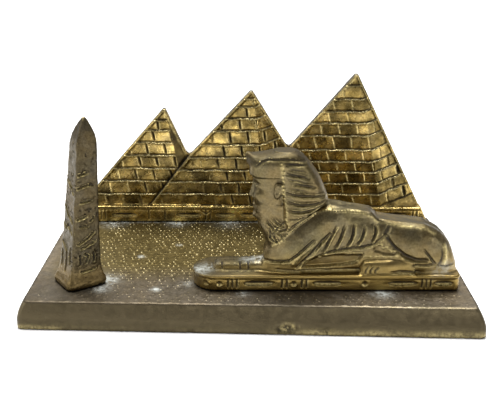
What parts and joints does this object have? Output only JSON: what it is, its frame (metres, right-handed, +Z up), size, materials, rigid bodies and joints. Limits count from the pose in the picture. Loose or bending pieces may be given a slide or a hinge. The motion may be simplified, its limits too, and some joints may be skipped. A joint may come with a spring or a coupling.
{
  "type": "sphinx statue",
  "caption": "Cast brass desk scene: a lying sphinx on its own plinth, a leaning obelisk and a panel of overlapping brick pyramids on a bevelled base plate",
  "frame": {"origin": "middle of the base plate's underside", "axes": "+X along the sphinx towards its tail, +Y towards the pyramid panel, +Z up"},
  "size_m": [0.1606, 0.0944, 0.0731],
  "materials": {
    "base_brass": "dull brown patina with a stippled golden top",
    "panel_brass": "golden brown tarnish with bright worn edges and dark grooves",
    "sphinx_brass": "dull olive brown patina, satin",
    "obelisk_brass": "dull grey brown patina, satin"
  },
  "bodies": {
    "root": {"base_plate": "base_brass", "pyramid_panel": "panel_brass", "sphinx": "sphinx_brass", "obelisk": "obelisk_brass"}
  },
  "joints": []
}
